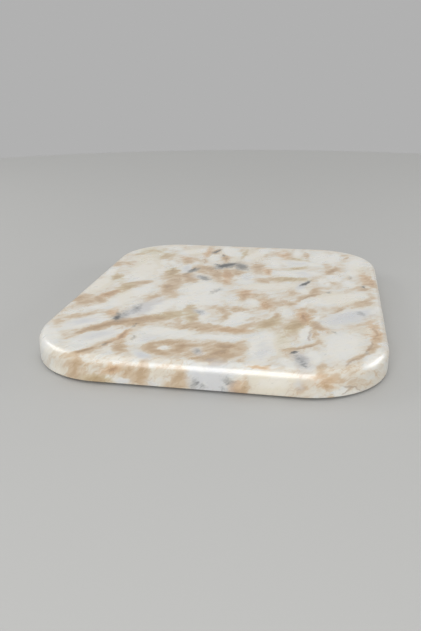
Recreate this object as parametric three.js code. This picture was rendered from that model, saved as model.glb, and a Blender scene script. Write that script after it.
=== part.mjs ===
// Marble chopping board: one polished stone slab that stands on four stick-on rubber pads.
// Millimetres, +Z up. The origin lies on the table under the middle of the board.
// +Y runs along the longer side, away from the edge that faces the cook, and +X runs to the right.
import * as THREE from "three";

// Slab
const SLAB_WIDTH = 255; // along X
const SLAB_LENGTH = 300; // along Y
const SLAB_THICKNESS = 19;
const CORNER_RADIUS = 58; // of the outline, seen from above
const TOP_ROUND_IN = 5.5; // how far the rounded top edge reaches in over the face
const TOP_ROUND_DOWN = 7.5; // and how far it reaches down the side
const ARRIS_RADIUS = 1.2; // the eased edge round the underside

// Anti-slip pads
const PAD_DIAMETER = 20; // at the bonded face
const PAD_THICKNESS = 1.2;
const PAD_DRAFT = 0.2; // the side leans in by this much towards the table
const PAD_EDGE_RADIUS = 0.4; // round the face that meets the table
const PAD_INSET = 26; // from the slab's rounded corner to the middle of the pad

// Adhesive film between each pad and the slab
const FILM_THICKNESS = 0.3;
const FILM_MARGIN = 1; // the film is die-cut this much inside the pad's edge

// Facets on a quarter of the outline, a quarter turn of the edge, a whole pad and its rim
const CORNER_STEPS = 16;
const EDGE_STEPS = 8;
const PAD_STEPS = 32;
const PAD_EDGE_STEPS = 4;
const POINTS_PER_DIVISION = 2; // a path puts two points on an arc for each division

// Heights that stack up from the table
const FILM_BASE = PAD_THICKNESS;
const SLAB_BASE = FILM_BASE + FILM_THICKNESS;

const marble = new THREE.MeshStandardMaterial({ color: 0xd8cfc0, roughness: 0.25, metalness: 0 });
const rubber = new THREE.MeshStandardMaterial({ color: 0x2b2b2c, roughness: 0.85, metalness: 0 });
const adhesive = new THREE.MeshStandardMaterial({ color: 0xcfcdc4, roughness: 0.5, metalness: 0 });

// The four corners, counterclockwise from the rear right one, each with the angle at which its arc starts.
const CORNERS = [
  { name: "rear_right", x: 1, y: 1, start: 0 },
  { name: "rear_left", x: -1, y: 1, start: Math.PI / 2 },
  { name: "front_left", x: -1, y: -1, start: Math.PI },
  { name: "front_right", x: 1, y: -1, start: 1.5 * Math.PI },
];

// Middle of a corner's arc. Every ring of the slab turns about the same four points.
function arcCentre(corner) {
  return new THREE.Vector2(
    corner.x * (SLAB_WIDTH / 2 - CORNER_RADIUS),
    corner.y * (SLAB_LENGTH / 2 - CORNER_RADIUS),
  );
}

// The slab's outline moved in by inset, as points counterclockwise from above.
function slabOutline(inset) {
  const outline = new THREE.Path();
  for (const corner of CORNERS) {
    const centre = arcCentre(corner);
    const end = corner.start + Math.PI / 2;
    outline.absarc(centre.x, centre.y, CORNER_RADIUS - inset, corner.start, end, false);
  }
  return outline.getPoints(CORNER_STEPS / POINTS_PER_DIVISION);
}

// The pad's outline moved in by inset. The last point of a full turn repeats the first, so it is dropped.
function padOutline(inset) {
  const outline = new THREE.Path();
  outline.absarc(0, 0, PAD_DIAMETER / 2 - inset, 0, 2 * Math.PI, false);
  return outline.getPoints(PAD_STEPS / POINTS_PER_DIVISION).slice(0, -1);
}

// Sections through an edge, from the lower face up to the upper one: x is the inset and y the height.
// The slab has an eased arris below and an elliptical round above.
function slabSection() {
  const section = new THREE.Path();
  section.absarc(ARRIS_RADIUS, ARRIS_RADIUS, ARRIS_RADIUS, 1.5 * Math.PI, Math.PI, true);
  section.absellipse(
    TOP_ROUND_IN,
    SLAB_THICKNESS - TOP_ROUND_DOWN,
    TOP_ROUND_IN,
    TOP_ROUND_DOWN,
    Math.PI,
    Math.PI / 2,
    true,
  );
  return section.getPoints(EDGE_STEPS / POINTS_PER_DIVISION);
}

// A moulded pad has a rounded rim on the table and a side that leans out to the bonded face.
function padSection() {
  const section = new THREE.Path();
  const rimInset = PAD_DRAFT + PAD_EDGE_RADIUS;
  section.absarc(rimInset, PAD_EDGE_RADIUS, PAD_EDGE_RADIUS, 1.5 * Math.PI, Math.PI, true);
  section.lineTo(0, PAD_THICKNESS);
  return section.getPoints(PAD_EDGE_STEPS / POINTS_PER_DIVISION);
}

// A die-cut film has a plain square edge.
function filmSection() {
  return [new THREE.Vector2(FILM_MARGIN, 0), new THREE.Vector2(FILM_MARGIN, FILM_THICKNESS)];
}

// A closed solid that carries a section all round an outline, with a flat face below and above.
function carried(outlineAt, section) {
  const rings = section.map(({ x: inset, y: height }) =>
    outlineAt(inset).map((point) => new THREE.Vector3(point.x, point.y, height)),
  );
  const count = rings[0].length;
  const index = [];
  for (let ring = 0; ring + 1 < rings.length; ring++) {
    for (let i = 0; i < count; i++) {
      const a = ring * count + i;
      const b = ring * count + ((i + 1) % count);
      index.push(a, b, b + count, a, b + count, a + count);
    }
  }
  const top = (rings.length - 1) * count;
  for (const [a, b, c] of THREE.ShapeUtils.triangulateShape(outlineAt(0), [])) {
    index.push(a, c, b, top + a, top + b, top + c);
  }
  const geometry = new THREE.BufferGeometry().setFromPoints(rings.flat());
  geometry.setIndex(index);
  geometry.computeVertexNormals();
  return geometry;
}

function piece(name, geometry, material, height) {
  const mesh = new THREE.Mesh(geometry, material);
  mesh.name = name;
  mesh.position.z = height;
  return mesh;
}

// A foot is a pad and its film, set on the corner's diagonal.
function foot(corner) {
  const reach = (CORNER_RADIUS - PAD_INSET) * Math.SQRT1_2;
  const centre = arcCentre(corner);
  const group = new THREE.Group();
  group.position.set(centre.x + corner.x * reach, centre.y + corner.y * reach, 0);
  group.add(piece(`pad_${corner.name}`, carried(padOutline, padSection()), rubber, 0));
  group.add(piece(`adhesive_film_${corner.name}`, carried(padOutline, filmSection()), adhesive, FILM_BASE));
  return group;
}

const board = new THREE.Group();
board.add(piece("marble_slab", carried(slabOutline, slabSection()), marble, SLAB_BASE));
CORNERS.forEach((corner) => board.add(foot(corner)));

export default board;
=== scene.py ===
import math
import bmesh
import bpy
from mathutils import Matrix, Vector


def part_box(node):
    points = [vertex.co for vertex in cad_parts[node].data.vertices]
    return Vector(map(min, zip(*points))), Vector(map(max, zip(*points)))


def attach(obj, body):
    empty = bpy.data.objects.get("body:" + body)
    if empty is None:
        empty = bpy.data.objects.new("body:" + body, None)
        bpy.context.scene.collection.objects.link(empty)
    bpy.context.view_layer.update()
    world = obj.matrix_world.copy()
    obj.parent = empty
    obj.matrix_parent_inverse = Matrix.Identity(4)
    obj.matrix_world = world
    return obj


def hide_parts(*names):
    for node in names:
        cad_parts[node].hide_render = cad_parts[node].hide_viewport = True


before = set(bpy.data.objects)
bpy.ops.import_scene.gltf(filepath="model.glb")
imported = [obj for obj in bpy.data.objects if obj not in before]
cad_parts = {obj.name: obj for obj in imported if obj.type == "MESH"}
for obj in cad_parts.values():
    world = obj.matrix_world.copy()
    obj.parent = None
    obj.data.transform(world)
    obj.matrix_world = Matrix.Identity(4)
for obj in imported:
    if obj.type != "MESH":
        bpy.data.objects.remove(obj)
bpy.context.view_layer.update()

# The board's rounds, in metres. Its overall sizes come from the frame.
CORNER_RADIUS = 0.058
TOP_ROUND_IN = 0.0055
TOP_ROUND_DOWN = 0.0075
ARRIS_RADIUS = 0.0012
PAD_DRAFT = 0.0002
PAD_EDGE_RADIUS = 0.0004

# Fineness of the meshes
CORNER_STEPS = 40
ROUND_STEPS = 14
STRAIGHT_STEP = 0.008
PAD_STEPS = 72
FLOOR_STEPS = 96
FLAT_MARGIN = 0.0008  # a narrow flat ring inside each round keeps the wide face's shading flat

# The photograph's camera
LENS = 36.855
AIM = Vector((-0.014007, -0.013443, 0.0015))
CAMERA_DISTANCE = 0.552212
CAMERA_AZIMUTH = math.radians(10.698)
CAMERA_ELEVATION = math.radians(20.912)
CAMERA_ROLL = math.radians(-0.546)

# Floor and light. A softbox has an azimuth and an elevation in degrees, a width and a height in metres,
# and a brightness.
FLOOR_RADIUS = 1.2
LIGHT_DISTANCE = 1.3
SOFTBOXES = {
    "front_softbox": (0, 20, 0.8, 0.86, 4.0),
    "right_softbox": (105, 15, 0.8, 0.5, 3.6),
    "left_softbox": (-95, 32, 0.8, 0.5, 2.4),
    "rear_softbox": (190, 14, 1.6, 0.36, 0.25),
}
HORIZON_LIGHT = 0.15
ZENITH_LIGHT = 1.14
SKY_RISE = 2  # the sky brightens with this power of the height
BACKDROP = 0.44

# The stone's pattern is drawn in millimetres on a map. The top face lies on it as seen from above, with
# the front edge at the bottom, and the front face hangs below that edge. Beds lean through the slab, so
# the map slides as a point goes deeper.
MILLIMETRES = 1000
BED_SLIDE_X = 0.25
BED_SLIDE_Y = 1.0
SLAB_LOW, SLAB_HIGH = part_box("marble_slab")
FRONT_EDGE = SLAB_LOW.y * MILLIMETRES
SLAB_TOP = SLAB_HIGH.z * MILLIMETRES
THICKNESS = (SLAB_HIGH.z - SLAB_LOW.z) * MILLIMETRES

# Outlines wander by noise, each with a size and an amount in millimetres, and a detail
WANDERS = ((30, 5, 1.0), (11, 6, 2.0), (3.6, 3.0, 3.0))
NOISE_MIDDLE = 0.5
FLOW_ANGLE = math.radians(42)
FLOW_STRETCH = 2.0

# Relief of the surfaces, in millimetres
VEIN_DEPTH = 0.02
SWELL_HEIGHT = 0.06
STIPPLE_HEIGHT = 0.05


def on_front(x, height):
    """The map place of a point on the front face, at a height above the slab's underside."""
    depth = THICKNESS - height
    return x + BED_SLIDE_X * depth, FRONT_EDGE - BED_SLIDE_Y * depth


def front_stroke(x0, height0, x1, height1, half_width, strength):
    return (*on_front(x0, height0), *on_front(x1, height1), half_width, strength)


# Strokes go from (x, y) to (x, y), with a half width and a strength. They taper past their ends, so that
# the next one runs on.
STROKE_TAPER = 1.4
STROKE_BLEND = 0.12  # how softly strokes of one kind run together
TAN_BANDS = [
    # rear left
    (-112, 124, -86, 104, 8.0, 0.30),
    (-110, 106, -106, 98, 3.5, 0.35),
    (-83, 106, -77, 84, 4.8, 0.50),
    (-59, 96, -54, 86, 4.2, 0.58),
    (-55, 88, -52, 72, 3.4, 0.64),
    (-50, 94, -46, 86, 3.4, 0.42),
    (-67, 64, -65, 58, 2.2, 0.30),
    (-61, 52, -63, 32, 4.0, 0.82),
    (-56, 38, -50, 8, 5.2, 0.64),
    (-54, 10, -49, -18, 5.2, 0.66),
    (-47, -8, -44, -26, 2.8, 0.50),
    (-57, -18, -64, -42, 3.6, 0.52),
    (-122, 68, -115, 50, 4.0, 0.50),
    (-110, 74, -106, 56, 4.0, 0.46),
    (-109, 28, -103, 12, 4.0, 0.70),
    (-92, 2, -76, 14, 3.8, 0.62),
    (-86, 4, -94, -15, 4.4, 0.68),
    (-95, -14, -103, -34, 3.6, 0.74),
    (-124, -33, -108, -52, 6.5, 0.64),
    (-107, -35, -101, -42, 3.8, 0.64),
    (-42, 140, -38, 98, 3.2, 0.66),
    (-31, 130, -35, 114, 3.2, 0.72),
    (-40, 104, -33, 66, 2.2, 0.36),
    (-22, 112, -16, 86, 3.0, 0.74),
    (-2, 136, -3, 96, 1.9, 0.42),
    (-40, 64, -20, 54, 5.6, 0.76),
    (-35, 54, -30, 46, 3.2, 0.54),
    (-21, 57, -13, 28, 4.5, 0.74),
    (-10, 58, -6, 34, 3.8, 0.82),
    (-8, 32, -5, 17, 2.8, 0.58),
    (-46, 40, -36, 18, 4.8, 0.74),
    (-4, 58, 5, 45, 4.4, 0.58),
    # rear right
    (41, 125, 41, 106, 3.7, 0.52),
    (45, 108, 60, 104, 3.4, 0.42),
    (59, 132, 61, 103, 2.4, 0.46),
    (99, 130, 97, 104, 3.8, 0.42),
    (98, 102, 94, 84, 2.2, 0.24),
    (91, 82, 81, 58, 3.8, 0.64),
    (86, 74, 99, 71, 2.8, 0.45),
    (80, 96, 83, 80, 3.0, 0.40),
    (47, 69, 61, 80, 2.8, 0.56),
    (15, 84, 19, 58, 4.6, 0.64),
    (27, 62, 30, 49, 2.8, 0.52),
    (26, 34, 26, 27, 3.6, 0.60),
    (30, 36, 42, 39, 3.4, 0.45),
    (40, 38, 63, 42, 4.0, 0.62),
    (116, 64, 119, 28, 4.8, 0.55),
    (77, 17, 71, 0, 2.5, 0.64),
    (52, 17, 54, -2, 3.6, 0.36),
    (119, 8, 121, -4, 3.0, 0.45),
    (84, 31, 92, 38, 4.0, 0.44),
    (103, 21, 124, 20, 4.0, 0.44),
    (20, 116, 24, 104, 4.0, 0.30),
    (10, 140, 14, 126, 3.0, 0.32),
    # front left
    (-84, -60, -80, -80, 3.8, 0.58),
    (-114, -84, -98, -74, 4.0, 0.46),
    (-118, -86, -116, -106, 3.0, 0.34),
    (-28, -60, -44, -69, 5.0, 0.56),
    (-29, -70, -25, -79, 2.8, 0.48),
    (-58, -81, -58, -92, 4.6, 1.00),
    (-42, -69, -60, -83, 5.2, 1.00),
    (-57, -84, -80, -91, 5.2, 1.00),
    (-62, -96, -66, -102, 2.4, 0.40),
    (-76, -90, -87, -105, 4.4, 0.88),
    (-86, -106, -94, -118, 1.3, 0.55),
    (-26, -38, -23, -62, 4.0, 0.60),
    (-19, -58, -17, -82, 3.6, 0.60),
    (-20, -86, 6, -87, 4.8, 0.66),
    (-18, -40, 6, -44, 4.4, 0.46),
    (-57, -100, -62, -120, 2.3, 0.50),
    (-62, -118, -67, -130, 2.2, 0.64),
    (-68, -130, -82, -146, 2.9, 0.72),
    (-59, -121, -53, -140, 3.4, 0.66),
    (-35, -122, -34, -131, 3.2, 0.84),
    (-34, -120, -13, -117, 3.4, 0.80),
    (-12, -120, -4, -121, 3.6, 0.52),
    (-33, -135, -21, -136, 3.0, 0.70),
    (-15, -118, -15, -130, 4.0, 0.80),
    (-110, -118, -102, -138, 2.0, 0.26),
    # front right
    (15, -7, 16, -18, 4.6, 0.70),
    (20, -10, 32, -11, 5.0, 0.48),
    (34, -21, 38, -38, 3.9, 0.70),
    (36, -24, 50, -28, 4.2, 0.56),
    (48, -23, 56, -26, 3.4, 0.60),
    (77, 6, 64, -12, 2.8, 0.66),
    (63, -8, 58, -21, 2.2, 0.56),
    (4, -41, 25, -51, 4.2, 0.62),
    (0, -46, 8, -56, 3.2, 0.52),
    (8, -54, 8, -68, 2.6, 0.50),
    (47, -49, 46, -64, 3.0, 0.56),
    (43, -64, 39, -79, 4.4, 0.68),
    (32, -72, 22, -87, 3.0, 0.52),
    (2, -89, 29, -88, 4.6, 0.60),
    (66, -43, 68, -66, 3.6, 0.92),
    (66, -64, 59, -79, 4.4, 0.68),
    (70, -62, 84, -82, 3.2, 0.68),
    (76, -80, 77, -98, 2.0, 0.60),
    (78, -98, 84, -109, 2.6, 0.40),
    (79, -105, 68, -111, 1.8, 0.44),
    (63, -114, 57, -119, 2.8, 0.58),
    (56, -116, 57, -124, 2.2, 0.30),
    (2, -121, 26, -118, 4.8, 0.64),
    (19, -112, 28, -111, 2.4, 0.42),
    (5, -131, 25, -131, 6.8, 0.66),
    (-3, -138, 14, -141, 4.6, 0.72),
    (26, -133, 32, -142, 2.4, 0.40),
    (35, -147, 50, -148, 1.5, 0.54),
    (49, -138, 46, -149, 2.2, 0.46),
    (117, -58, 119, -71, 3.8, 0.43),
    (119, -70, 119, -97, 2.8, 0.56),
    (118, -96, 112, -121, 2.8, 0.62),
    (109, -117, 99, -130, 2.1, 0.60),
    (101, -80, 117, -82, 2.0, 0.40),
    (119, -4, 104, -29, 3.8, 0.50),
    (99, -27, 87, -43, 2.2, 0.46),
    (83, -134, 80, -151, 2.8, 0.42),
    (73, -38, 72, -48, 2.8, 0.54),
    # front face
    front_stroke(-80, 16, -84, 3, 3.6, 0.62),
    front_stroke(-78, 12, -66, 14, 3.2, 0.42),
    front_stroke(-62, 9, -54, 11, 2.8, 0.66),
    front_stroke(-46, 7, -40, 5, 2.2, 0.28),
    front_stroke(-53, 9, -38, 11, 4.0, 0.64),
    front_stroke(-34, 17, -37, 3, 3.4, 0.64),
    front_stroke(-75, 3, -59, 2, 2.8, 0.66),
    front_stroke(-75, 8, -71, 5, 2.4, 0.42),
    front_stroke(-6, 17, -9, 1, 4.6, 0.58),
    front_stroke(34, 6, 32, 0, 3.1, 0.60),
    front_stroke(34, 15, 35, 11, 2.0, 0.24),
    front_stroke(27, 4, 25, 0, 3.4, 0.82),
    front_stroke(-19, 2, -18, 0, 2.0, 0.50),
    front_stroke(-12, 4, -14, 0, 2.6, 0.54),
    front_stroke(71, 9, 69, 4, 1.8, 0.54),
    front_stroke(81, 11, 93, 12, 2.3, 0.48),
    front_stroke(78, 18, 100, 18, 3.5, 0.42),
    front_stroke(84, 6, 92, 4, 2.0, 0.42),
    front_stroke(-98, 8, -90, 12, 4.0, 0.22),
]
PALE_CLASTS = [
    # front left
    (-104, -98, -84, -80, 8.5, 0.90),
    (-88, -128, -66, -104, 8.0, 0.90),
    (-120, -106, -106, -136, 7.0, 1.00),
    (-116, -16, -116, 14, 7.0, 0.80),
    (-90, -52, -72, -8, 8.5, 0.90),
    (-74, -14, -68, 6, 5.0, 0.70),
    (-104, -60, -92, -56, 5.0, 0.70),
    (-52, -62, -40, -34, 6.0, 0.90),
    (-50, -98, -10, -104, 7.5, 0.90),
    (-48, -122, -40, -110, 5.0, 0.80),
    (-12, -105, 30, -104, 4.6, 0.70),
    (-26, -127.5, -18, -126, 2.7, 1.00),
    (-44, -136, -34, -144, 4.0, 0.60),
    (-92, -142, -76, -134, 4.0, 0.60),
    # middle
    (-24, 7, -16, -30, 15.0, 1.00),
    (-34, -22, -30, -46, 6.0, 0.80),
    (-12, -54, -8, -78, 4.5, 0.50),
    (22, -50, 12, -78, 5.5, 1.00),
    (50, -36, 52, -54, 5.5, 0.50),
    (28, -56, 22, -62, 3.0, 0.50),
    (40, -92, 42, -138, 8.0, 0.95),
    (57, -134, 62, -144, 4.0, 0.70),
    (71, -77, 68, -98, 4.0, 0.95),
    (21, -20, 26, -32, 4.6, 0.60),
    # right
    (98, -90, 92, -120, 10.5, 1.00),
    (74, -118, 78, -134, 4.5, 0.80),
    (112, -132, 120, -112, 5.0, 0.90),
    (76, -60, 77, -52, 2.4, 0.70),
    (76, -18, 106, 0, 10.5, 0.90),
    (88, -62, 112, -34, 8.0, 0.90),
    (118, -38, 124, -22, 4.0, 0.80),
    (62, -32, 68, -18, 4.0, 0.60),
    # rear right
    (20, 12, 50, 20, 8.0, 0.90),
    (10, 42, 12, 24, 6.0, 0.65),
    (62, 14, 66, 2, 3.5, 0.80),
    (38, 56, 72, 58, 8.0, 0.95),
    (40, 92, 72, 88, 7.0, 0.90),
    (74, 128, 74, 98, 7.5, 1.00),
    (88, 130, 87, 98, 6.0, 0.90),
    (112, 116, 106, 78, 6.5, 0.95),
    (106, 76, 106, 60, 5.0, 0.80),
    (86, 54, 90, 40, 5.0, 0.90),
    (78, 44, 82, 26, 4.0, 0.80),
    (100, 40, 104, 28, 4.5, 0.70),
    (3, 96, 18, 136, 6.0, 0.95),
    (51, 138, 52, 114, 3.6, 0.60),
    (30, 98, 34, 74, 5.0, 0.70),
    # rear left
    (-90, 76, -86, 18, 9.5, 0.95),
    (-74, 54, -73, 40, 4.0, 0.60),
    (-78, 84, -76, 66, 5.0, 0.70),
    (-69, 80, -67, 72, 4.0, 0.60),
    (-64, 112, -48, 124, 7.0, 0.95),
    (-51, 70, -51, 50, 4.0, 0.90),
    (-24, 136, -10, 112, 7.0, 0.95),
    (-34, 108, -28, 84, 5.0, 0.50),
    (-45, 84, -44, 72, 3.0, 0.50),
    (-70, 20, -66, 10, 4.0, 0.40),
    (-98, 32, -103, 3, 4.5, 0.60),
    (-110, 86, -102, 78, 5.0, 0.40),
    (-119, 46, -117, 24, 5.0, 0.70),
    (-84, 134, -70, 122, 5.0, 0.50),
    (-31, 11, -28, 3, 6.0, 0.80),
    # front face
    front_stroke(-54, 3, -46, 2, 2.4, 0.56),
    front_stroke(-30, 4, -27, 1, 2.6, 0.40),
    front_stroke(-26, 16, -25, 1, 4.5, 0.34),
    front_stroke(2, 16, 14, 2, 8.4, 0.80),
    front_stroke(44, 10, 63, 9, 7.6, 0.60),
    front_stroke(94, 9, 99, 12, 3.0, 0.90),
    front_stroke(104, 8, 112, 12, 4.0, 0.70),
    front_stroke(-104, 14, -94, 8, 4.0, 0.60),
]
CREAM_AREAS = [
    (-100, 100, -84, 40, 16.0, 0.80),
    (-114, 14, -114, -18, 10.0, 0.70),
    (22, 14, 52, 18, 10.0, 0.90),
    (74, 4, 110, -18, 14.0, 0.80),
    (2, 132, 14, 96, 9.0, 0.90),
    (104, -72, 114, -76, 5.0, 0.90),
    (52, -88, 56, -122, 6.0, 0.90),
    (-60, 128, -50, 108, 9.0, 0.80),
    (110, 90, 112, 60, 8.0, 0.70),
    (-90, -8, -80, -46, 9.0, 0.60),
    (-12, 106, -8, 88, 5.0, 0.70),
    front_stroke(-104, 8, -88, 12, 8.0, 0.60),
    front_stroke(38, 8, 64, 8, 9.0, 1.00),
    front_stroke(-30, 10, -20, 10, 4.0, 0.60),
]
OLIVE_AREAS = [
    (-112, 122, -84, 100, 12.0, 0.80),
    (-64, 58, -60, 34, 5.0, 0.80),
    (-110, 29, -103, 11, 5.0, 0.80),
    (40, 38, 63, 42, 5.0, 1.00),
    (47, 69, 61, 80, 4.0, 1.00),
    (45, 108, 60, 104, 4.0, 0.80),
    (-42, -68, -26, -60, 6.0, 0.80),
    (-88, 2, -93, -12, 5.0, 0.80),
    (38, -82, 46, -62, 6.0, 0.70),
    (66, -66, 56, -85, 6.0, 0.70),
    (52, -88, 56, -112, 5.0, 0.60),
    (-3, 138, -3, 96, 3.0, 0.70),
    (-24, -40, -18, -80, 4.0, 0.70),
    front_stroke(-75, 3, -59, 2, 3.0, 0.90),
]
RUSTY_AREAS = [
    (64, -42, 68, -66, 4.5, 1.00),
    (117, -56, 118, -96, 5.0, 0.70),
    (-57, -100, -63, -122, 3.0, 0.80),
    (115, 66, 119, 30, 6.0, 0.60),
    (36, 132, 40, 104, 6.0, 0.70),
    (-10, 58, -5, 18, 5.0, 0.70),
    (14, 3, 16, -15, 7.0, 0.60),
    (33, -20, 36, -43, 5.0, 0.70),
    (-95, -14, -103, -34, 4.0, 0.70),
    (2, -89, 29, -88, 6.0, 0.50),
    (35, -147, 50, -148, 2.4, 0.90),
    (-62, 102, -54, 86, 5.0, 0.50),
    (-42, 138, -40, 102, 4.0, 0.70),
    (26, 68, 30, 49, 4.0, 0.80),
    (-84, -60, -80, -73, 4.0, 0.70),
    front_stroke(-62, 9, -53, 11, 3.0, 0.90),
    front_stroke(75, 14, 95, 15, 5.0, 0.60),
    front_stroke(32, 12, 25, 1, 4.0, 0.60),
]
GREY_CLOUDS = [
    (-70, -74, -54, -36, 6.0, 0.80),
    (-60, -56, -64, -62, 4.0, 0.60),
    (88, -62, 112, -38, 7.0, 0.80),
    (104, -47, 114, -37, 4.5, 0.80),
    (-51, 66, -50, 50, 3.0, 0.80),
    (-38, 35, -30, 32, 3.6, 0.50),
    (62, 26, 60, 14, 3.0, 0.80),
    (-3, -126, 1, -134, 2.6, 0.60),
    (-106, -96, -92, -84, 5.0, 0.60),
    (-84, -120, -70, -108, 5.0, 0.60),
    (46, 92, 60, 88, 5.0, 0.50),
    (-18, -52, -13, -59, 3.0, 0.80),
    (44, -108, 42, -136, 4.0, 0.50),
    (66, -124, 72, -146, 4.0, 0.80),
    (-40, -138, -34, -146, 3.5, 0.70),
    (56, 62, 66, 52, 5.0, 0.50),
    (10, 44, 12, 30, 4.0, 0.50),
    (-44, -118, -40, -110, 4.0, 0.50),
    front_stroke(-52, 2, -45, 2, 2.0, 0.50),
    front_stroke(-30, 3, -27, 1, 2.2, 0.50),
    front_stroke(1, 16, 3, 0, 3.8, 0.90),
    front_stroke(14, 16, 14, 0, 8.0, 0.90),
    front_stroke(68, 12, 69, 5, 1.8, 0.50),
]
SMUDGES = [
    (-7, 80, -20, 66, 5.4, 1.00),
    (-4, 79, 3, 66, 4.8, 0.90),
    (-30, 131, -35, 114, 2.2, 0.70),
    (-40, 60, -46, 44, 3.0, 0.85),
    (-77, -69, -73, -82, 3.4, 0.76),
    (-72, -62, -71, -76, 3.4, 0.50),
    (-66, -48, -66, -64, 4.2, 0.52),
    (-18, -54, -14, -60, 3.0, 0.48),
    (65, -124, 71, -143, 3.3, 0.51),
    (-31, 34, -25, 27, 3.8, 0.70),
    (-8, 4, -14, -10, 3.2, 0.52),
    (-24, 76, -22, 70, 3.0, 0.50),
    (67, 37, 60, 20, 2.0, 0.60),
    (109, -38, 112, -46, 3.0, 0.45),
    (-24, 111, -22, 106, 1.8, 0.70),
    (114, 30, 113, 24, 2.2, 0.50),
    (84, 8, 84, 5, 2.0, 0.50),
    (103, 55, 103, 48, 1.8, 0.45),
    (-51, -111, -51, -118, 1.6, 0.45),
    (-55, -84, -57, -100, 0.9, 0.50),
    (-1, -126, -2, -133, 2.2, 0.50),
    (110, -112, 111, -119, 1.6, 0.34),
    (88, -80, 90, -84, 1.6, 0.45),
    (-66, -126, -68, -131, 1.4, 0.50),
    front_stroke(0, 7, 0, 2, 2.2, 0.50),
    front_stroke(4, 3, 7, 1, 1.8, 0.50),
    front_stroke(20, 9, 26, 7, 2.0, 0.52),
    front_stroke(18, 3, 22, 1, 1.8, 0.40),
]
DARK_FLECKS = [
    (-8, 79, -14, 75, 2.2, 1.00),
    (-14, 75, -18, 68, 2.9, 1.00),
    (-23, 76, -20, 72, 1.2, 0.70),
    (-30, 131, -35, 116, 1.2, 0.75),
    (-42, 60, -46, 51, 1.2, 0.70),
    (66, 35, 61, 23, 1.7, 1.00),
    (-76, -73, -74, -82, 1.7, 0.64),
    (62, -123, 65, -120, 1.3, 0.66),
    (71, -138, 72, -146, 1.2, 0.50),
    (113, 28, 114, 25, 0.8, 0.60),
    front_stroke(1, 6, 1, 4, 0.8, 0.40),
]
BROWN_VEINS = [
    (118, -64, 118, -92, 0.7, 0.70),
    (118, -90, 108, -121, 0.7, 0.80),
    (109, -118, 92, -144, 0.6, 0.80),
    (-58, -102, -62, -122, 0.7, 0.90),
    (-62, -121, -69, -132, 0.8, 1.00),
    (-68, -130, -82, -146, 0.7, 0.90),
    (74, -74, 72, -105, 0.6, 0.70),
    (80, -106, 59, -118, 0.6, 0.80),
    (76, 4, 60, -18, 0.7, 0.80),
    (100, -26, 88, -42, 0.6, 0.70),
    (65, -44, 68, -65, 0.8, 0.80),
    (-97, -119, -84, -98, 0.5, 0.70),
    (-102, -33, -96, -18, 0.7, 0.70),
    (27, 64, 30, 50, 0.6, 0.60),
    (-86, 4, -76, 14, 0.6, 0.60),
    (-64, 60, -61, 40, 0.6, 0.60),
    (-40, 100, -34, 68, 0.5, 0.60),
    (-18, 104, -17, 86, 0.6, 0.70),
    (-78, -88, -60, -82, 0.8, 0.60),
    front_stroke(92, 15, 112, 15, 0.4, 0.80),
    front_stroke(104, 15, 97, 8, 0.4, 0.80),
    front_stroke(-60, 9, -54, 11, 0.7, 0.80),
]


def srgb(red, green, blue):
    """A colour given in 8-bit steps, as the linear colour that the shaders take."""
    def linear(step):
        share = step / 255
        return share / 12.92 if share <= 0.04045 else ((share + 0.055) / 1.055) ** 2.4
    return (linear(red), linear(green), linear(blue), 1)


# Stone: clasts, then bands from their rims to their hearts, tints of the bands, and marks
MILK = srgb(236, 234, 228)
WHITE = srgb(222, 222, 217)
IVORY = srgb(229, 225, 214)
CREAM = srgb(225, 218, 201)
BUFF = srgb(216, 206, 189)
PALE_TAN = srgb(205, 185, 158)
TAN = srgb(191, 165, 132)
DEEP_TAN = srgb(173, 143, 108)
NO_TINT = (1, 1, 1, 1)
OLIVE_TINT = (0.96, 0.99, 0.92, 1)
RUST_TINT = (1.06, 0.95, 0.85, 1)
GREY = srgb(205, 206, 208)
SMUDGE = srgb(108, 109, 107)
BROWN = srgb(150, 118, 88)
DARK = srgb(50, 52, 52)

# Pads, films and floor
RUBBER = srgb(44, 44, 46)
RUBBER_WORN = srgb(70, 69, 68)
FILM = srgb(208, 205, 196)
FILM_CLEAR = srgb(190, 188, 180)
FLOOR = srgb(186, 186, 184)


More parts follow.
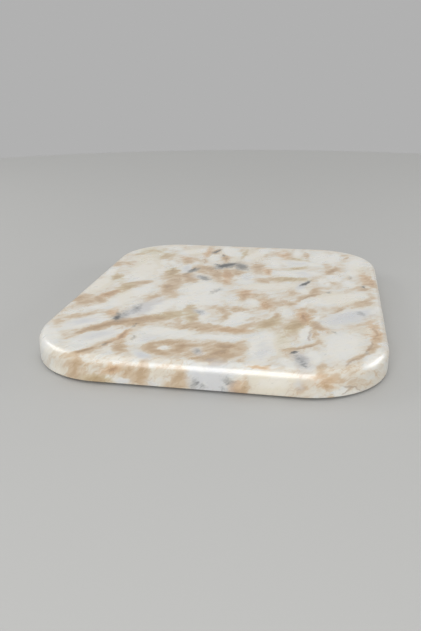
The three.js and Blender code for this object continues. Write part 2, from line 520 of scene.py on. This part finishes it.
class Nodes:
    """A node tree, one call for each node. A socket given as an input is linked, and a value is set."""

    MIX_SHARE, MIX_BELOW, MIX_ABOVE, MIX_RESULT = 0, 6, 7, 2  # the Mix node's sockets for colours

    def __init__(self, tree):
        self.tree = tree

    def add(self, kind, inputs, output=0, **settings):
        node = self.tree.nodes.new(kind)
        for name, value in settings.items():
            setattr(node, name, value)
        for key, value in inputs.items():
            self.feed(node.inputs[key], value)
        return node.outputs[output]

    def feed(self, socket, value):
        if isinstance(value, bpy.types.NodeSocket):
            self.tree.links.new(value, socket)
        else:
            socket.default_value = value

    def math(self, operation, *values):
        return self.add("ShaderNodeMath", dict(enumerate(values)), operation=operation)

    def vector(self, operation, *vectors, output=0, **named):
        inputs = {**dict(enumerate(vectors)), **named}
        return self.add("ShaderNodeVectorMath", inputs, output, operation=operation)

    def noise(self, point, size, detail=3.0, roughness=0.55, output="Fac"):
        inputs = {"Vector": point, "Scale": 1 / size, "Detail": detail, "Roughness": roughness}
        return self.add("ShaderNodeTexNoise", inputs, output)

    def step(self, value, low, high, bottom=0.0, top=1.0):
        """A smooth step from bottom to top as value goes from low to high."""
        inputs = {"Value": value, "From Min": low, "From Max": high, "To Min": bottom, "To Max": top}
        return self.add("ShaderNodeMapRange", inputs, interpolation_type="SMOOTHSTEP")

    def mix(self, share, below, above, blend="MIX"):
        inputs = {self.MIX_SHARE: share, self.MIX_BELOW: below, self.MIX_ABOVE: above}
        return self.add("ShaderNodeMix", inputs, self.MIX_RESULT, data_type="RGBA", blend_type=blend)

    def ramp(self, value, stops):
        """A colour that goes smoothly through (position, colour) stops."""
        node = self.tree.nodes.new("ShaderNodeValToRGB")
        node.color_ramp.interpolation = "EASE"
        elements = node.color_ramp.elements
        while len(elements) < len(stops):
            elements.new(0.5)
        for element, (position, colour) in zip(elements, stops):
            element.position = position
            element.color = colour
        self.feed(node.inputs[0], value)
        return node.outputs[0]


class Shader(Nodes):
    """The nodes of a new material."""

    def __init__(self, name):
        self.material = bpy.data.materials.new(name)
        self.material.use_nodes = True
        super().__init__(self.material.node_tree)

    def finish(self, **inputs):
        surface = self.tree.nodes["Principled BSDF"]
        for name, value in inputs.items():
            self.feed(surface.inputs[name.replace("_", " ").title().replace("Ior", "IOR")], value)
        return self.material

    def place(self):
        """The point on the piece, in millimetres."""
        metres = self.add("ShaderNodeTexCoord", {}, "Object")
        return self.vector("SCALE", metres, Scale=MILLIMETRES)

    def relief(self, height, unit=1.0, strength=1.0):
        """A normal for a height that is measured in a unit given in millimetres."""
        inputs = {"Height": height, "Strength": strength, "Distance": unit / MILLIMETRES}
        return self.add("ShaderNodeBump", inputs)

    def wander(self, point, size, amount, detail):
        """An offset on the map that varies over the stone by up to about half the amount."""
        colour = self.noise(point, size, detail, output="Color")
        centred = self.vector("SUBTRACT", colour, (NOISE_MIDDLE, NOISE_MIDDLE, NOISE_MIDDLE))
        return self.vector("MULTIPLY", centred, (amount, amount, 0))

    def strokes(self, point, strokes, reach):
        """The strength along the strokes' middles, falling to 0 at about reach times their half width."""
        covered = None
        for x0, y0, x1, y1, half_width, strength in strokes:
            half_length = math.hypot(x1 - x0, y1 - y0) / 2
            spread = reach * half_width
            # each stroke is a stretched ball, and the map cuts a weaker one further from its middle
            inputs = {
                "Vector": point,
                "Location": ((x0 + x1) / 2, (y0 + y1) / 2, 1 - strength),
                "Rotation": (0, 0, math.atan2(y1 - y0, x1 - x0)),
                "Scale": (STROKE_TAPER * half_length + spread, spread, 1),
            }
            local = self.add("ShaderNodeMapping", inputs, vector_type="TEXTURE")
            ball = self.add("ShaderNodeTexGradient", {"Vector": local}, "Fac", gradient_type="SPHERICAL")
            covered = ball if covered is None else self.math("SMOOTH_MAX", covered, ball, STROKE_BLEND)
        return covered


def stone_map(shader, point):
    """The place on the pattern's map, with the wandering outlines of natural stone."""
    across = shader.vector("DOT_PRODUCT", point, (1, 0, -BED_SLIDE_X), output="Value")
    along = shader.vector("DOT_PRODUCT", point, (0, 1, BED_SLIDE_Y), output="Value")
    inputs = {
        "X": shader.math("ADD", across, BED_SLIDE_X * SLAB_TOP),
        "Y": shader.math("SUBTRACT", along, BED_SLIDE_Y * SLAB_TOP),
    }
    place = shader.add("ShaderNodeCombineXYZ", inputs)
    for size, amount, detail in WANDERS:
        place = shader.vector("ADD", place, shader.wander(point, size, amount, detail))
    return place


def marble():
    shader = Shader("polished_marble")
    point = shader.place()
    place = stone_map(shader, point)

    # noise the size of the clasts, of their feathered rims and of wisps, drawn out along the flow
    turn = {"Vector": place, "Rotation": (0, 0, FLOW_ANGLE), "Scale": (FLOW_STRETCH, 1, 1)}
    flow = shader.add("ShaderNodeMapping", turn, vector_type="TEXTURE")
    broad = shader.noise(flow, size=16, detail=2.0)
    ragged = shader.noise(flow, size=4.5, detail=2.5, roughness=0.5)
    wisps = shader.noise(flow, size=1.7, detail=2.5, roughness=0.6)

    def field(strokes, reach, rag, low, high, top=1.0, tear=ragged):
        """How far a point is covered by the strokes, with feathered rims."""
        covered = shader.strokes(place, strokes, reach)
        torn = shader.math("MULTIPLY_ADD", shader.math("SUBTRACT", tear, NOISE_MIDDLE), rag, covered)
        return shader.step(torn, low, high, top=top)

    # warmth rises from the pale clasts to the hearts of the bands
    tan = field(TAN_BANDS, reach=2.6, rag=0.42, low=0.06, high=0.85, top=0.63)
    clasts = field(PALE_CLASTS, reach=1.8, rag=0.4, low=0.05, high=0.6, top=0.3)
    drift = shader.step(broad, low=0.3, high=0.7, bottom=0.12, top=0.36)
    mottle = shader.step(ragged, low=0.25, high=0.75, bottom=-0.12, top=0.12)
    ridge = shader.math("SUBTRACT", shader.noise(flow, size=10), NOISE_MIDDLE)
    threads = shader.step(shader.math("ABSOLUTE", ridge), low=0.0, high=0.03, bottom=0.14, top=0.0)
    warmth = shader.math("ADD", shader.math("ADD", drift, mottle), threads)
    warmth = shader.math("SUBTRACT", shader.math("ADD", warmth, tan), clasts)

    ground = shader.mix(shader.step(shader.noise(flow, size=8), low=0.38, high=0.62), WHITE, IVORY)
    cream = field(CREAM_AREAS, reach=1.5, rag=0.3, low=0.05, high=0.6)
    ground = shader.mix(cream, ground, CREAM)
    ground = shader.mix(shader.step(clasts, low=0.2, high=0.3, top=0.45), ground, MILK)
    bands = shader.ramp(warmth, ((0.3, BUFF), (0.52, PALE_TAN), (0.75, TAN), (1.0, DEEP_TAN)))
    olive = field(OLIVE_AREAS, reach=2.2, rag=0.3, low=0.1, high=0.7)
    rusty = field(RUSTY_AREAS, reach=2.0, rag=0.3, low=0.1, high=0.8)
    tint = shader.mix(rusty, shader.mix(olive, NO_TINT, OLIVE_TINT), RUST_TINT)
    bands = shader.mix(1.0, bands, tint, "MULTIPLY")
    colour = shader.mix(shader.step(warmth, low=0.06, high=0.4), ground, bands)

    clouds = field(GREY_CLOUDS, reach=2.4, rag=0.5, low=0.05, high=0.8, top=0.85)
    veins = field(BROWN_VEINS, reach=3.0, rag=0.7, low=0.2, high=0.8, top=0.5)
    smudges = field(SMUDGES, reach=2.2, rag=0.9, low=0.12, high=0.85, top=0.9, tear=wisps)
    flecks = field(DARK_FLECKS, reach=2.4, rag=1.0, low=0.2, high=0.75, top=0.9, tear=wisps)
    for share, mark in ((clouds, GREY), (veins, BROWN), (smudges, SMUDGE), (flecks, DARK)):
        colour = shader.mix(share, colour, mark)
    crystals = shader.noise(point, size=0.9, detail=2.0, roughness=0.6)
    sparkle = shader.step(crystals, low=0.25, high=0.75, bottom=0.99, top=1.008)
    colour = shader.mix(1.0, colour, sparkle, "MULTIPLY")

    swell = shader.math("MULTIPLY", shader.noise(point, size=22, detail=1.0), SWELL_HEIGHT)
    return shader.finish(
        base_color=colour,
        roughness=shader.step(broad, low=0.3, high=0.7, bottom=0.27, top=0.31),
        normal=shader.relief(shader.math("MULTIPLY_ADD", veins, -VEIN_DEPTH, swell)),
        ior=1.58,
        specular_ior_level=1.0,
        subsurface_weight=0.12,
        subsurface_radius=(1.0, 0.8, 0.6),
        subsurface_scale=0.003,
    )


def pad_rubber():
    shader = Shader("pad_rubber")
    point = shader.place()
    mottle = shader.step(shader.noise(point, size=2.2, detail=4.0), low=0.35, high=0.8)
    stipple = shader.noise(point, size=0.35, detail=2.0)
    return shader.finish(
        base_color=shader.mix(mottle, RUBBER, RUBBER_WORN),
        roughness=shader.step(mottle, low=0.0, high=1.0, bottom=0.62, top=0.84),
        normal=shader.relief(stipple, STIPPLE_HEIGHT, strength=0.5),
    )


def adhesive_film():
    shader = Shader("adhesive_film")
    patches = shader.step(shader.noise(shader.place(), size=1.6), low=0.3, high=0.7)
    return shader.finish(
        base_color=shader.mix(patches, FILM, FILM_CLEAR),
        roughness=shader.step(patches, low=0.0, high=1.0, bottom=0.35, top=0.55),
    )


def plain_floor():
    return Shader("plain_floor").finish(base_color=FLOOR, roughness=0.9)


def in_scene(name, data):
    made = bpy.data.objects.new(name, data)
    bpy.context.scene.collection.objects.link(made)
    return made


def from_mesh(name, mesh):
    data = bpy.data.meshes.new(name)
    mesh.to_mesh(data)
    mesh.free()
    return in_scene(name, data)


def quarter(centre, radii, start, steps):
    """Points of a quarter turn on an ellipse, counterclockwise from the start angle."""
    angles = [start + math.pi / 2 * i / steps for i in range(steps + 1)]
    return [(centre[0] + radii[0] * math.cos(a), centre[1] + radii[1] * math.sin(a)) for a in angles]


def slab_outline(inset):
    """The slab's outline moved in by inset, counterclockwise from the rear right corner's arc."""
    half = Vector((SLAB_HIGH.x, SLAB_HIGH.y))
    radius = CORNER_RADIUS - inset
    points = []
    for turn, (side_x, side_y) in enumerate(((1, 1), (-1, 1), (-1, -1), (1, -1))):
        centre = (side_x * (half.x - CORNER_RADIUS), side_y * (half.y - CORNER_RADIUS))
        points += quarter(centre, (radius, radius), turn * math.pi / 2, CORNER_STEPS)
        straight = 2 * ((half.x if turn % 2 == 0 else half.y) - CORNER_RADIUS)
        steps = round(straight / STRAIGHT_STEP)
        along = Vector((-side_x, 0)) if turn % 2 == 0 else Vector((0, -side_y))
        last = Vector(points[-1])
        points += [tuple(last + along * straight * i / steps) for i in range(1, steps)]
    return points


def pad_outline(centre, radius):
    def at(inset):
        turns = [2 * math.pi * i / PAD_STEPS for i in range(PAD_STEPS)]
        reach = radius - inset
        return [(centre.x + reach * math.cos(a), centre.y + reach * math.sin(a)) for a in turns]
    return at


def slab_section():
    low, high = SLAB_LOW.z, SLAB_HIGH.z
    arris_radii = (ARRIS_RADIUS, ARRIS_RADIUS)
    arris = quarter((ARRIS_RADIUS, low + ARRIS_RADIUS), arris_radii, math.pi, ROUND_STEPS)
    top_radii = (TOP_ROUND_IN, TOP_ROUND_DOWN)
    top = quarter((TOP_ROUND_IN, high - TOP_ROUND_DOWN), top_radii, math.pi / 2, ROUND_STEPS)
    under_face = (ARRIS_RADIUS + FLAT_MARGIN, low)
    work_face = (TOP_ROUND_IN + FLAT_MARGIN, high)
    return [under_face, *reversed(arris), *reversed(top), work_face]


def pad_section(low, high):
    rim_inset = PAD_DRAFT + PAD_EDGE_RADIUS
    rim_radii = (PAD_EDGE_RADIUS, PAD_EDGE_RADIUS)
    rim = quarter((rim_inset, low + PAD_EDGE_RADIUS), rim_radii, math.pi, ROUND_STEPS)
    return [(rim_inset + FLAT_MARGIN, low), *reversed(rim), (0, high), (FLAT_MARGIN, high)]


def film_section(low, high):
    return [(FLAT_MARGIN, low), (0, low), (0, high), (FLAT_MARGIN, high)]


def carried(name, outline, section):
    """A closed piece: a section of (inset, height) points, from below up, carried round an outline."""
    mesh = bmesh.new()
    rings = [[mesh.verts.new((x, y, height)) for x, y in outline(inset)] for inset, height in section]
    for lower, upper in zip(rings, rings[1:]):
        for i in range(len(lower)):
            after = (i + 1) % len(lower)
            mesh.faces.new((lower[i], lower[after], upper[after], upper[i]))
    mesh.faces.new(list(reversed(rings[0])))
    mesh.faces.new(rings[-1])
    piece = from_mesh(name, mesh)
    piece.data.shade_smooth()
    return piece


def dress(piece, node, material):
    piece.data.materials.append(material)
    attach(piece, "root")
    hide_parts(node)


def make_board():
    dress(carried("board_slab", slab_outline, slab_section()), "marble_slab", marble())
    rubber, film = pad_rubber(), adhesive_film()
    for corner in ("front_left", "front_right", "rear_left", "rear_right"):
        for kind, section, slot, material in (
            ("pad", pad_section, "pad_rubber", rubber),
            ("adhesive_film", film_section, "adhesive", film),
        ):
            node = f"{kind}_{corner}"
            low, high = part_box(node)
            outline = pad_outline((low + high) / 2, (high.x - low.x) / 2)
            piece = carried(f"board_{node}", outline, section(low.z, high.z))
            dress(piece, node, material)


def make_floor():
    mesh = bmesh.new()
    bmesh.ops.create_circle(mesh, cap_ends=True, radius=FLOOR_RADIUS, segments=FLOOR_STEPS)
    floor = from_mesh("floor", mesh)
    floor.data.materials.append(plain_floor())


def direction(azimuth, elevation):
    """From the board towards a lamp or the camera. Azimuth 0 is in front and turns to the right."""
    level = math.cos(elevation)
    return Vector((math.sin(azimuth) * level, -math.cos(azimuth) * level, math.sin(elevation)))


def make_softboxes():
    for name, (azimuth, elevation, width, height, brightness) in SOFTBOXES.items():
        lamp = bpy.data.lights.new(name, "AREA")
        lamp.shape = "RECTANGLE"
        lamp.size = width
        lamp.size_y = height
        lamp.energy = brightness * math.pi * width * height
        box = in_scene(name, lamp)
        back = direction(math.radians(azimuth), math.radians(elevation))
        box.location = back * LIGHT_DISTANCE
        box.rotation_euler = back.to_track_quat("Z", "Y").to_euler()
        box.visible_camera = False


def make_sky():
    """A gradient that lights the board. Looks, reflections and refractions meet a plain backdrop."""
    world = bpy.data.worlds.new("studio")
    world.use_nodes = True
    nodes = Nodes(world.node_tree)
    view = nodes.add("ShaderNodeTexCoord", {}, "Generated")
    rise = nodes.math("POWER", nodes.add("ShaderNodeSeparateXYZ", {0: view}, "Z"), SKY_RISE)
    inputs = {"Value": rise, "To Min": HORIZON_LIGHT, "To Max": ZENITH_LIGHT}
    gradient = nodes.add("ShaderNodeMapRange", inputs)
    seen = nodes.add("ShaderNodeLightPath", {}, "Is Camera Ray")
    for kind in ("Is Glossy Ray", "Is Transmission Ray"):
        seen = nodes.math("MAXIMUM", seen, nodes.add("ShaderNodeLightPath", {}, kind))
    sky = nodes.add("ShaderNodeMapRange", {"Value": seen, "To Min": gradient, "To Max": BACKDROP})
    nodes.feed(nodes.tree.nodes["Background"].inputs["Color"], sky)
    bpy.context.scene.world = world


def make_camera():
    data = bpy.data.cameras.new("camera")
    data.lens = LENS
    camera = in_scene("camera", data)
    back = direction(CAMERA_AZIMUTH, CAMERA_ELEVATION)
    aimed = (-back).to_track_quat("-Z", "Y").to_matrix().to_4x4()
    turn = aimed @ Matrix.Rotation(CAMERA_ROLL, 4, "Z")
    camera.matrix_world = Matrix.Translation(AIM + back * CAMERA_DISTANCE) @ turn
    bpy.context.scene.camera = camera


make_camera()
make_board()
make_floor()
make_softboxes()
make_sky()
bpy.context.scene.view_settings.view_transform = "Standard"
